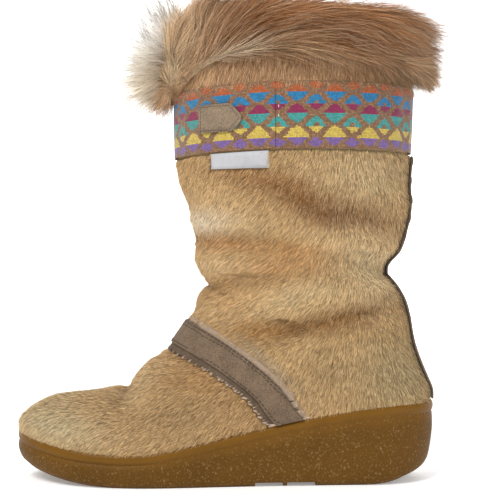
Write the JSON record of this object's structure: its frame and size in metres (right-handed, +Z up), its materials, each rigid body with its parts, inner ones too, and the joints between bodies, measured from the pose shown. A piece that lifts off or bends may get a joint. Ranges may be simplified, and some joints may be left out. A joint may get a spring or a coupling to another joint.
{
  "type": "fur boot",
  "caption": "Left slouchy hair-on hide boot with a wedge sole, a woven band, suede trims and a long-haired fur cuff, standing empty.",
  "frame": {"origin": "on the floor, on the flat underside half way along the sole", "axes": "+Z up, -X towards the toe, -Y towards the outer (lateral) side"},
  "size_m": [0.2744, 0.1415, 0.2998],
  "materials": {
    "rubber": "satin speckled crepe rubber",
    "hide": "short golden-tan hair on hide",
    "fur": "long hair, tan to reddish brown with cream at the front",
    "ribbon": "woven, six coloured rows of diamonds",
    "suede": "matt grey-brown suede",
    "label": "plain pale weave, bare",
    "felt": "matt felt"
  },
  "bodies": {
    "root": {"outsole": "rubber", "insole": "felt", "upper": "hide", "woven_band": "ribbon", "instep_strap_pinked": "suede", "instep_strap": "suede", "back_stay_pinked": "suede", "back_stay": "suede", "suede_tab": "suede", "label_tab": "label", "fur_cuff": "fur"}
  },
  "joints": []
}
